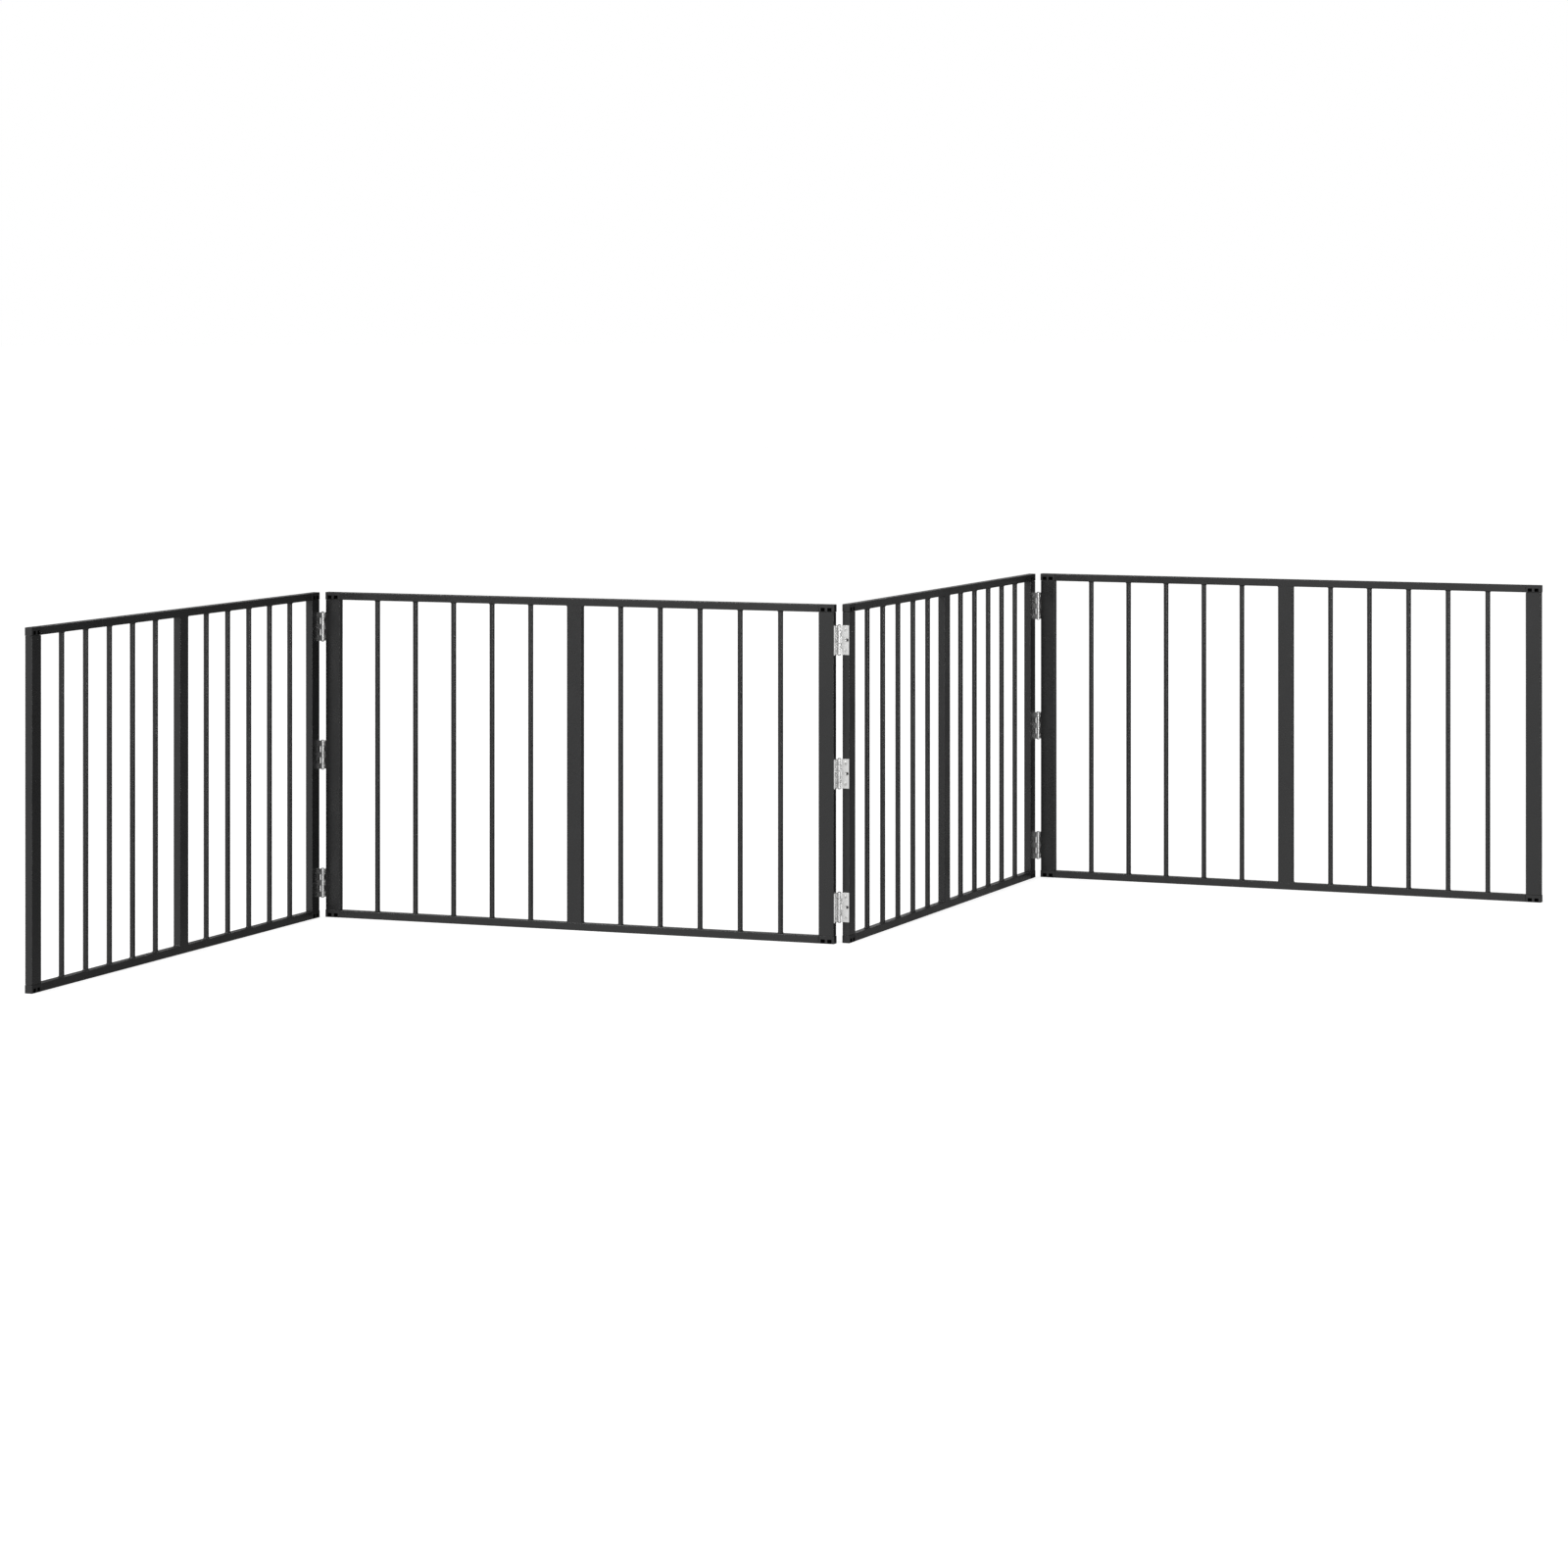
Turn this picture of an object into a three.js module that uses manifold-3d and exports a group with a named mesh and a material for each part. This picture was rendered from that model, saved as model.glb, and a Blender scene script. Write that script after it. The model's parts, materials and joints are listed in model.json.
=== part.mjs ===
// A free-standing folding hearth guard: four barred steel panels in a zigzag, joined by butt hinges.
// Millimetres, +Z up. X runs along the zigzag from panel 1 to panel 4, and -Y is the front.
// In a panel's own frame x runs from its left end, y from its front face to its back, z from the floor.
import * as THREE from "three";
import { mergeVertices } from "three/addons/utils/BufferGeometryUtils.js";
import Module from "manifold-3d";

// ---- driving dimensions ----

const panelLength = 867; // one panel, over its two stiles
const panelHeight = 520;
const frameDepth = 12; // stiles, rails and post are all this deep
const stileWidth = 25; // flat side tube
const postWidth = 25; // flat tube half way along a panel
const railHeight = 12;
const tubeWall = 1.2;
const tubeEdgeRadius = 1.2;

const barDiameter = 8;
const barsPerBay = 5; // a bay lies between a stile and the centre post
const barPatternInset = 2.4; // the bars are pitched from this far inside the stile and the post
const weldDepth = 0.6; // how far a welded piece is sunk into the tube it stands on

const plugProud = 0.6; // the corner plugs stand out past the ends of the panel by this much
const spigotLength = 14;
const pocketWidth = 7; // moulded recesses in the faces of a corner plug
const pocketHeight = 5.6;
const pocketDepth = 2;
const pocketRib = 4; // left standing between the two recesses of a face
const pocketRise = 1.2; // from the plug's underside to a recess

const hingeHeight = 45.4;
const hingeEndDistance = 55.1; // from a panel's top or bottom to the middle of the nearest hinge
const leafThickness = 1.4;
const leafInset = 0.25; // from the leaf's free edge to the far face of the panel
const pivotGap = 3.4; // from a panel's end face to the pin's axis, along the panel
const pivotOffset = 3.6; // from the face on the knuckle's side to the pin's axis
const knucklesPerHinge = 5;
const pinHeadRadius = 2.3;
const pinHeadHeight = 1.2;
const screwHoleDiameter = 3.4;
const screwHoleEndDistance = 7; // from the hinge's top or bottom to the outer screw holes
const outerScrewReach = 10; // from the pin's axis to the outer holes
const middleScrewReach = 11.8; // from the pin's axis to the middle hole

const fitGap = 0.3; // clearance wherever two pieces meet
const pinClearance = 0.3; // all round, between the pin and the knuckles

// How far each hinge line turns the panels out of one straight line as the guard stands.
const standingTurns = { line1: 89.0, line2: 88.6, line3: 90.3 };

const barSides = 12;
const knuckleSides = 10;
const boreSides = 8;
const edgeSegments = 2;

// ---- sizes that follow ----

const stileLength = panelHeight - 2 * (railHeight + fitGap);
const railLength = panelLength - 2 * (stileWidth + fitGap);
const infillHeight = panelHeight - 2 * railHeight - fitGap; // bars and post, up to just under the top rail
const knuckleRadius = pivotGap - fitGap;
const boreRadius = knuckleRadius - leafThickness;
const pinRadius = boreRadius - pinClearance;
const knucklePitch = hingeHeight / knucklesPerHinge;

// ---- materials ----

function powderCoat() {
  return new THREE.MeshStandardMaterial({ color: 0x333435, roughness: 0.55, metalness: 0.1 });
}

function blackPlastic() {
  return new THREE.MeshStandardMaterial({ color: 0x1c1c1d, roughness: 0.5, metalness: 0 });
}

function zincPlate() {
  return new THREE.MeshStandardMaterial({ color: 0xc9c9c6, roughness: 0.35, metalness: 0.9 });
}

function pinSteel() {
  return new THREE.MeshStandardMaterial({ color: 0x9a9b9d, roughness: 0.3, metalness: 0.9 });
}

// ---- solids: closed geometries joined and cut with manifold-3d ----

const wasm = await Module();
wasm.setup();

function toSolid(geometry) {
  const bare = geometry.clone();
  bare.deleteAttribute("normal");
  bare.deleteAttribute("uv");
  const merged = mergeVertices(bare, 1e-4);
  const vertProperties = new Float32Array(merged.attributes.position.array);
  const triVerts = new Uint32Array(merged.index.array);
  return new wasm.Manifold(new wasm.Mesh({ numProp: 3, vertProperties, triVerts }));
}

function toGeometry(solid) {
  const mesh = solid.getMesh();
  const geometry = new THREE.BufferGeometry();
  geometry.setAttribute("position", new THREE.BufferAttribute(mesh.vertProperties, 3));
  geometry.setIndex(new THREE.BufferAttribute(mesh.triVerts, 1));
  return geometry;
}

function join(geometries) {
  return geometries.map(toSolid).reduce((whole, piece) => whole.add(piece));
}

function cut(solid, geometries) {
  return geometries.map(toSolid).reduce((left, tool) => left.subtract(tool), solid);
}

// ---- basic shapes, each placed by its lowest corner or by its axis ----

function box(x0, x1, y0, y1, z0, z1) {
  const geometry = new THREE.BoxGeometry(x1 - x0, y1 - y0, z1 - z0);
  return geometry.translate((x0 + x1) / 2, (y0 + y1) / 2, (z0 + z1) / 2);
}

function roundedOutline(Path, x0, x1, y0, y1, radius) {
  const outline = new Path();
  outline.absarc(x1 - radius, y1 - radius, radius, 0, Math.PI / 2);
  outline.absarc(x0 + radius, y1 - radius, radius, Math.PI / 2, Math.PI);
  outline.absarc(x0 + radius, y0 + radius, radius, Math.PI, 1.5 * Math.PI);
  outline.absarc(x1 - radius, y0 + radius, radius, 1.5 * Math.PI, 2 * Math.PI);
  outline.closePath();
  return outline;
}

function squareOutline(Path, x0, x1, y0, y1) {
  const outline = new Path();
  outline.moveTo(x0, y0);
  outline.lineTo(x1, y0);
  outline.lineTo(x1, y1);
  outline.lineTo(x0, y1);
  outline.closePath();
  return outline;
}

function tubeSection(width, depth) {
  const section = roundedOutline(THREE.Shape, 0, width, 0, depth, tubeEdgeRadius);
  section.holes.push(squareOutline(THREE.Path, tubeWall, width - tubeWall, tubeWall, depth - tubeWall));
  return section;
}

function extrude(section, length) {
  return new THREE.ExtrudeGeometry(section, { depth: length, bevelEnabled: false, curveSegments: edgeSegments });
}

// A flat tube standing upright, its section in x and y.
function uprightTube(width, depth, length, x, z) {
  return extrude(tubeSection(width, depth), length).translate(x, 0, z);
}

// A tube lying along x, its section in y and z.
function lyingTube(depth, height, length, x, z) {
  const geometry = extrude(tubeSection(depth, height), length);
  const alongX = new THREE.Matrix4().makeBasis(
    new THREE.Vector3(0, 1, 0),
    new THREE.Vector3(0, 0, 1),
    new THREE.Vector3(1, 0, 0),
  );
  return geometry.applyMatrix4(alongX).translate(x, 0, z);
}

function uprightRod(radius, sides, x, y, z0, z1) {
  const geometry = new THREE.CylinderGeometry(radius, radius, z1 - z0, sides);
  return geometry.rotateX(Math.PI / 2).translate(x, y, (z0 + z1) / 2);
}

function rodAlongX(radius, sides, x0, x1, y, z) {
  const geometry = new THREE.CylinderGeometry(radius, radius, x1 - x0, sides);
  return geometry.rotateZ(Math.PI / 2).translate((x0 + x1) / 2, y, z);
}

// ---- sub-parts, in a panel's own frame ----

function named(name, geometry, material) {
  const mesh = new THREE.Mesh(geometry, material);
  mesh.name = name;
  return mesh;
}

function stile(name, end) {
  const x = end === "left" ? 0 : panelLength - stileWidth;
  const tube = uprightTube(stileWidth, frameDepth, stileLength, x, railHeight + fitGap);
  return named(name, toGeometry(toSolid(tube)), powderCoat());
}

function topRail(name) {
  const tube = lyingTube(frameDepth, railHeight, railLength, stileWidth + fitGap, panelHeight - railHeight);
  return named(name, toGeometry(toSolid(tube)), powderCoat());
}

// The middle lines of the bars, evenly pitched in the bay on each side of the centre post.
function barPositions() {
  const bay = (panelLength - postWidth) / 2 - stileWidth;
  const pitch = (bay + 2 * barPatternInset) / (barsPerBay + 1);
  const positions = [];
  for (const bayStart of [stileWidth, (panelLength + postWidth) / 2]) {
    for (let bar = 1; bar <= barsPerBay; bar++) {
      positions.push(bayStart - barPatternInset + bar * pitch);
    }
  }
  return positions;
}

// The bottom rail with the bars and the centre post welded on it.
function barGrille(name) {
  const foot = railHeight - weldDepth;
  const head = railHeight + infillHeight;
  const pieces = [
    lyingTube(frameDepth, railHeight, railLength, stileWidth + fitGap, 0),
    uprightTube(postWidth, frameDepth, head - foot, (panelLength - postWidth) / 2, foot),
  ];
  for (const x of barPositions()) {
    pieces.push(uprightRod(barDiameter / 2, barSides, x, frameDepth / 2, foot, head));
  }
  return named(name, toGeometry(join(pieces)), powderCoat());
}

// Two recesses in the front face and two in the back face of a plug's block.
function plugPockets(blockBottom) {
  const z0 = blockBottom + pocketRise;
  const z1 = z0 + pocketHeight;
  const pockets = [];
  for (const side of [-1, 1]) {
    const near = stileWidth / 2 + (side * pocketRib) / 2;
    const far = near + side * pocketWidth;
    const x0 = Math.min(near, far);
    const x1 = Math.max(near, far);
    pockets.push(box(x0, x1, -1, pocketDepth, z0, z1));
    pockets.push(box(x0, x1, frameDepth - pocketDepth, frameDepth + 1, z0, z1));
  }
  return pockets;
}

// A moulded corner plug, drawn for a left end: its block closes the corner,
// one spigot goes into the stile and one into the rail.
function cornerPlug(name, level, end) {
  const blockBottom = level === "top" ? panelHeight - railHeight : 0;
  const play = tubeWall + fitGap;
  const outline = roundedOutline(THREE.Shape, -plugProud, stileWidth, 0, frameDepth, tubeEdgeRadius);
  const block = extrude(outline, railHeight).translate(0, 0, blockBottom);
  const railSpigot = box(
    stileWidth - play, stileWidth + fitGap + spigotLength,
    play, frameDepth - play,
    blockBottom + play, blockBottom + railHeight - play,
  );
  const middle = blockBottom + railHeight / 2;
  const inward = level === "top" ? -1 : 1;
  const tip = middle + inward * (railHeight / 2 + fitGap + spigotLength);
  const stileSpigot = box(
    play, stileWidth - play,
    play, frameDepth - play,
    Math.min(middle, tip), Math.max(middle, tip),
  );
  const solid = cut(join([block, railSpigot, stileSpigot]), plugPockets(blockBottom));
  const mesh = named(name, toGeometry(solid), blackPlastic());
  return end === "left" ? mesh : turnedEndForEnd(mesh);
}

// The same moulding turned half round, so that it fits the other end of the panel.
function turnedEndForEnd(mesh) {
  mesh.rotation.z = Math.PI;
  mesh.position.set(panelLength, frameDepth, 0);
  return mesh;
}

// The heights of the hinges' middles on every hinge line.
const hingeHeights = {
  bottom: hingeEndDistance,
  middle: panelHeight / 2,
  top: panelHeight - hingeEndDistance,
};

// A hinge leaf about its pin's axis, drawn for the left end of a panel with the knuckles in front:
// the plate lies on the stile's end face, towards +y, with its back at x = pivotGap - fitGap.
function leafSolid(ownKnuckles) {
  const plateBack = knuckleRadius;
  const plateFront = knuckleRadius - leafThickness;
  const plateStart = knuckleRadius + fitGap;
  const plateEnd = pivotOffset + frameDepth - leafInset;
  const bottom = -hingeHeight / 2;
  const pieces = [box(plateFront, plateBack, plateStart, plateEnd, bottom, -bottom)];
  for (const knuckle of ownKnuckles) {
    const z0 = bottom + knuckle * knucklePitch + fitGap / 2;
    const z1 = z0 + knucklePitch - fitGap;
    pieces.push(uprightRod(knuckleRadius, knuckleSides, 0, 0, z0, z1));
    pieces.push(box(plateFront, plateBack, 0, plateStart + fitGap, z0, z1));
  }
  return cut(join(pieces), [uprightRod(boreRadius, boreSides, 0, 0, bottom - 1, 1 - bottom), ...screwHoles()]);
}

function screwHoles() {
  const outer = hingeHeight / 2 - screwHoleEndDistance;
  const places = [[outerScrewReach, -outer], [middleScrewReach, 0], [outerScrewReach, outer]];
  return places.map(([reach, z]) => rodAlongX(screwHoleDiameter / 2, boreSides, 0, knuckleRadius + 1, reach, z));
}

function knuckleNumbers(first) {
  const numbers = [];
  for (let knuckle = first; knuckle < knucklesPerHinge; knuckle += 2) numbers.push(knuckle);
  return numbers;
}

// A leaf on one end of a panel. A half turn about x carries the knuckles to the back of a left end,
// and a half turn about y carries them to the front of a right end.
function hingeLeaf(name, end, side, z) {
  const mesh = named(name, toGeometry(leafSolid(knuckleNumbers(end === "right" ? 0 : 1))), zincPlate());
  const pivot = pivotAt(end, side);
  if (side === "back" && end === "left") mesh.rotation.x = Math.PI;
  if (side === "front" && end === "right") mesh.rotation.y = Math.PI;
  if (side === "back" && end === "right") mesh.rotation.z = Math.PI;
  mesh.position.set(pivot.x, pivot.y, z);
  return mesh;
}

// A headed pin through all five knuckles.
function hingePin(name, end, side, z) {
  const shank = hingeHeight / 2 + fitGap;
  const profile = [
    [0, -shank - pinHeadHeight],
    [pinHeadRadius, -shank - pinHeadHeight],
    [pinHeadRadius, -shank],
    [pinRadius, -shank],
    [pinRadius, shank],
    [pinHeadRadius, shank],
    [pinHeadRadius, shank + pinHeadHeight],
    [0, shank + pinHeadHeight],
  ].map(([radius, height]) => new THREE.Vector2(radius, height));
  const turned = new THREE.LatheGeometry(profile, boreSides).rotateX(Math.PI / 2);
  const mesh = named(name, toGeometry(toSolid(turned)), pinSteel());
  const pivot = pivotAt(end, side);
  mesh.position.set(pivot.x, pivot.y, z);
  return mesh;
}

// ---- assembly ----

// The pin's axis at one end of a panel, on its front or back side.
function pivotAt(end, side) {
  const x = end === "left" ? -pivotGap : panelLength + pivotGap;
  const y = side === "front" ? -pivotOffset : frameDepth + pivotOffset;
  return new THREE.Vector3(x, y, 0);
}

function panel(number) {
  const group = new THREE.Group();
  const name = `panel_${number}`;
  group.add(topRail(`${name}_top_rail`), barGrille(`${name}_bar_grille`));
  for (const end of ["left", "right"]) {
    group.add(stile(`${name}_${end}_stile`, end));
    for (const level of ["top", "bottom"]) {
      group.add(cornerPlug(`${name}_corner_plug_${level}_${end}`, level, end));
    }
  }
  return group;
}

// Hangs the panel `hung` on the panel `fixed`: `end` is the end of `fixed` that carries the hinges,
// `side` the side of the knuckles, and `turn` the angle from `fixed` to `hung`.
// The three hinges of the line go with it, the pins on `fixed`.
function hangPanel(line, fixed, hung, end, side, turn) {
  const otherEnd = end === "left" ? "right" : "left";
  for (const [level, z] of Object.entries(hingeHeights)) {
    const name = `hinge_${line}_${level}`;
    fixed.add(hingeLeaf(`${name}_leaf_${otherEnd}`, end, side, z));
    fixed.add(hingePin(`${name}_pin`, end, side, z));
    hung.add(hingeLeaf(`${name}_leaf_${end}`, otherEnd, side, z));
  }
  const axis = new THREE.Group();
  axis.position.copy(pivotAt(end, side));
  axis.rotation.z = THREE.MathUtils.degToRad(turn);
  hung.position.copy(pivotAt(otherEnd, side)).negate();
  axis.add(hung);
  fixed.add(axis);
}

// Moves the whole guard so that the origin is under the middle of its box, on the floor.
function centredOnFloor(guard) {
  guard.updateMatrixWorld(true);
  const bounds = new THREE.Box3().setFromObject(guard, true);
  const middle = bounds.getCenter(new THREE.Vector3());
  guard.position.set(-middle.x, -middle.y, -bounds.min.z);
  const part = new THREE.Group();
  part.add(guard);
  return part;
}

function hearthGuard() {
  const [panel1, panel2, panel3, panel4] = [1, 2, 3, 4].map(panel);
  hangPanel(1, panel2, panel1, "left", "front", standingTurns.line1);
  hangPanel(2, panel2, panel3, "right", "back", standingTurns.line2);
  hangPanel(3, panel3, panel4, "right", "front", -standingTurns.line3);
  panel2.rotation.z = THREE.MathUtils.degToRad(-standingTurns.line2 / 2);
  const guard = new THREE.Group();
  guard.add(panel2);
  return centredOnFloor(guard);
}

export default hearthGuard();
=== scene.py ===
import json
import math
import random
from itertools import product

import bmesh
import bpy
from mathutils import Matrix, Vector


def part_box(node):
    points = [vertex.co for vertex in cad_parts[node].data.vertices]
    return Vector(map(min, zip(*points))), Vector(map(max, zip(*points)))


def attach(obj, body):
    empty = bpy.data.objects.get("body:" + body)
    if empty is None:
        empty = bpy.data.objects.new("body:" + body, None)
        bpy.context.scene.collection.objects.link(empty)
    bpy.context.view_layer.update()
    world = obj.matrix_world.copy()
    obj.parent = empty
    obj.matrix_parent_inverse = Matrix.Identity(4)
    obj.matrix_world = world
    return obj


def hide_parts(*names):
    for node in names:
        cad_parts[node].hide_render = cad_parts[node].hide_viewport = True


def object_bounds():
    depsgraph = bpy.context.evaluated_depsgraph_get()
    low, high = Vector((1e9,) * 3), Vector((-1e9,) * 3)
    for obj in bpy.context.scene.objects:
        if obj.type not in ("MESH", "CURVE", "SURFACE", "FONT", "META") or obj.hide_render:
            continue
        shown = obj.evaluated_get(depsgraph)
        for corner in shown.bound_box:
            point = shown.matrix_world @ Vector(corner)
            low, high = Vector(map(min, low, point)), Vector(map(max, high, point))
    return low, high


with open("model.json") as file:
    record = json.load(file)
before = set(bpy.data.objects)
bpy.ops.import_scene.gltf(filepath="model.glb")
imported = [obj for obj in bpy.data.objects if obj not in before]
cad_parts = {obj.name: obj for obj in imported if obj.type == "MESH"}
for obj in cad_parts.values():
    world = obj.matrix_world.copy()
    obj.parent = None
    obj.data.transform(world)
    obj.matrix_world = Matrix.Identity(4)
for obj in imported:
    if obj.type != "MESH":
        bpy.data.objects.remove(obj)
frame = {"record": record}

cadLow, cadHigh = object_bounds()
bodyNodes = frame["record"]["behaviour"]["bodies"]
bodyOfNode = {node: body for body, nodes in bodyNodes.items() for node in nodes}
chance = random.Random(11)


# where the panels stand, and how high their rails are

tube = {
    "stileWidth": 0.025,
    "postWidth": 0.025,
    "depth": 0.012,
    "wall": 0.0012,
    "edgeRadius": 0.0012,
    "insideRadius": 0.0005,
    "leastRadius": 0.00005,  # what an inset leaves of a radius
    "edgeSteps": 6,  # facets round one long edge
    "cutRounding": 0.0003,  # the sawn ends, softened by the coat
    "cutSteps": 3,
}


def middleOf(node):
    low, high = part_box(node)
    return (low + high) / 2


def panelPlace(number):
    # a panel's own axes: x from left to right, y from front to back, z up from the floor
    left = middleOf(f"panel_{number}_left_stile")
    along = (middleOf(f"panel_{number}_right_stile") - left).normalized()
    up = Vector((0, 0, 1))
    back = up.cross(along)
    corner = left - along * tube["stileWidth"] / 2 - back * tube["depth"] / 2
    corner.z = cadLow.z
    return Matrix.Translation(corner) @ Matrix((along, back, up)).transposed().to_4x4()


panelPlaces = {number: panelPlace(number) for number in (1, 2, 3, 4)}
stileGap = (middleOf("panel_1_right_stile") - middleOf("panel_1_left_stile")).length
panelLength = stileGap + tube["stileWidth"]
panelHeight = cadHigh.z - cadLow.z
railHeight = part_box("panel_1_top_rail")[1].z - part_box("panel_1_top_rail")[0].z
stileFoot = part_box("panel_1_left_stile")[0].z
railGap = stileFoot - railHeight  # what is left open between a tube's end and the corner plug


# node helpers and the shader groups that the finishes share

def addNode(tree, kind, inputs=None, **settings):
    node = tree.nodes.new(kind)
    for name, value in settings.items():
        setattr(node, name, value)
    for name, value in (inputs or {}).items():
        socket = node.inputs[name]
        if isinstance(value, bpy.types.NodeSocket):
            tree.links.new(value, socket)
        else:
            socket.default_value = value
    return node


def mathNode(tree, operation, first, second=0.0):
    return addNode(tree, "ShaderNodeMath", {0: first, 1: second}, operation=operation).outputs[0]


def rangeNode(tree, value, low, high, toLow=0.0, toHigh=1.0):
    inputs = {"Value": value, "From Min": low, "From Max": high, "To Min": toLow, "To Max": toHigh}
    return addNode(tree, "ShaderNodeMapRange", inputs).outputs["Result"]


def noiseNode(tree, place, size, detail=2.0, roughness=0.5):
    scale = mathNode(tree, "DIVIDE", 1.0, size)
    inputs = {"Vector": place, "Scale": scale, "Detail": detail, "Roughness": roughness}
    return addNode(tree, "ShaderNodeTexNoise", inputs).outputs["Fac"]


def mixColor(tree, factor, first, second):
    node = addNode(tree, "ShaderNodeMix", {0: factor, 6: first, 7: second}, data_type="RGBA")
    return node.outputs[2]


def newGroup(name, inputs, outputs):
    # inputs and outputs: socket name -> what it starts at; a tuple is a colour and a number is a value
    group = bpy.data.node_groups.new(name, "ShaderNodeTree")
    for label, start in inputs.items():
        kind = "NodeSocketColor" if isinstance(start, tuple) else "NodeSocketFloat"
        group.interface.new_socket(name=label, in_out="INPUT", socket_type=kind).default_value = start
    for label, kind in outputs.items():
        group.interface.new_socket(name=label, in_out="OUTPUT", socket_type=kind)
    return group, group.nodes.new("NodeGroupInput").outputs, group.nodes.new("NodeGroupOutput").inputs


def placeIn(tree):
    return addNode(tree, "ShaderNodeTexCoord").outputs["Object"]


rubbing = {"from": 0.85, "perShare": 0.5, "blend": 0.12}  # where in the patches' noise the rubbing starts


def makeEdgeWear():
    # the mask is 1 where a convex edge is tight and the patches say that it has been rubbed
    inputs = {"Bend Start": 0.35, "Bend Full": 0.8, "Patch Size": 0.02, "Patch Share": 0.5}
    group, given, result = newGroup("edgeWear", inputs, {"Worn": "NodeSocketFloat"})
    bend = addNode(group, "ShaderNodeAttribute", attribute_name="edgeBend").outputs["Fac"]
    edge = rangeNode(group, bend, given["Bend Start"], given["Bend Full"])
    patches = noiseNode(group, placeIn(group), given["Patch Size"], 5.0, 0.7)
    lowered = mathNode(group, "MULTIPLY", given["Patch Share"], rubbing["perShare"])
    rubbedFrom = mathNode(group, "SUBTRACT", rubbing["from"], lowered)
    rubbed = rangeNode(group, patches, rubbedFrom, mathNode(group, "ADD", rubbedFrom, rubbing["blend"]))
    group.links.new(mathNode(group, "MULTIPLY", edge, rubbed), result["Worn"])
    return group


def makeOrangePeel():
    # soft dimples with a finer grit on top of them
    inputs = {"Peel Size": 0.0016, "Grit Size": 0.0003, "Grit Share": 0.3}
    group, given, result = newGroup("orangePeel", inputs, {"Height": "NodeSocketFloat"})
    place = placeIn(group)
    peel = noiseNode(group, place, given["Peel Size"], 1.0)
    grit = noiseNode(group, place, given["Grit Size"], 2.0, 0.6)
    height = mathNode(group, "ADD", peel, mathNode(group, "MULTIPLY", grit, given["Grit Share"]))
    group.links.new(height, result["Height"])
    return group


flecking = {"sizeShare": 0.04, "strength": 0.35}


def makeToneDrift():
    # slow changes of tone over a surface, with small flecks in them
    inputs = {"Main Color": (0.5, 0.5, 0.5, 1.0), "Drift Color": (0.4, 0.4, 0.4, 1.0)}
    inputs["Drift Size"] = 0.12
    group, given, result = newGroup("toneDrift", inputs, {"Color": "NodeSocketColor"})
    place = placeIn(group)
    slow = rangeNode(group, noiseNode(group, place, given["Drift Size"], 3.0), 0.35, 0.7)
    fleckSize = mathNode(group, "MULTIPLY", given["Drift Size"], flecking["sizeShare"])
    speckled = noiseNode(group, place, fleckSize, 2.0)
    flecks = rangeNode(group, speckled, 0.55, 0.75, 0.0, flecking["strength"])
    share = mathNode(group, "MAXIMUM", slow, flecks)
    group.links.new(mixColor(group, share, given["Main Color"], given["Drift Color"]), result["Color"])
    return group


specking = {"sizeShare": 0.06, "share": 0.2}  # specks beside the smears


def makeHandling():
    # roughness that goes from a wiped to a dull surface in smears
    inputs = {"Wiped": 0.4, "Dull": 0.6, "Smear Size": 0.05}
    group, given, result = newGroup("handling", inputs, {"Roughness": "NodeSocketFloat"})
    place = placeIn(group)
    smears = noiseNode(group, place, given["Smear Size"], 4.0, 0.6)
    speckSize = mathNode(group, "MULTIPLY", given["Smear Size"], specking["sizeShare"])
    specks = noiseNode(group, place, speckSize, 1.0)
    smearPart = mathNode(group, "MULTIPLY", smears, 1.0 - specking["share"])
    both = mathNode(group, "ADD", smearPart, mathNode(group, "MULTIPLY", specks, specking["share"]))
    roughness = rangeNode(group, both, 0.35, 0.65, given["Wiped"], given["Dull"])
    group.links.new(roughness, result["Roughness"])
    return group


def makeSettledDust():
    # dust lies on what faces up, in specks
    inputs = {"Amount": 0.3, "Speck Size": 0.0012}
    group, given, result = newGroup("settledDust", inputs, {"Dust": "NodeSocketFloat"})
    normal = addNode(group, "ShaderNodeNewGeometry").outputs["Normal"]
    facing = addNode(group, "ShaderNodeSeparateXYZ", {0: normal})
    level = rangeNode(group, facing.outputs["Z"], 0.55, 0.98)
    specks = rangeNode(group, noiseNode(group, placeIn(group), given["Speck Size"], 3.0, 0.6), 0.4, 0.7)
    amount = mathNode(group, "MULTIPLY", mathNode(group, "MULTIPLY", level, specks), given["Amount"])
    group.links.new(amount, result["Dust"])
    return group


def makeRolledGrain():
    # fine lines along z, as rolled or drawn steel has
    inputs = {"Line Width": 0.0002, "Line Length": 0.012}
    group, given, result = newGroup("rolledGrain", inputs, {"Line": "NodeSocketFloat"})
    across = mathNode(group, "DIVIDE", 1.0, given["Line Width"])
    down = mathNode(group, "DIVIDE", 1.0, given["Line Length"])
    scale = addNode(group, "ShaderNodeCombineXYZ", {"X": across, "Y": across, "Z": down}).outputs[0]
    inputs = {0: placeIn(group), 1: scale}
    stretched = addNode(group, "ShaderNodeVectorMath", inputs, operation="MULTIPLY").outputs[0]
    inputs = {"Vector": stretched, "Scale": 1.0, "Detail": 3.0}
    lines = addNode(group, "ShaderNodeTexNoise", inputs)
    group.links.new(lines.outputs["Fac"], result["Line"])
    return group


edgeWear = makeEdgeWear()
orangePeel = makeOrangePeel()
toneDrift = makeToneDrift()
handling = makeHandling()
settledDust = makeSettledDust()
rolledGrain = makeRolledGrain()
print("shader groups made")


# finishes

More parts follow.
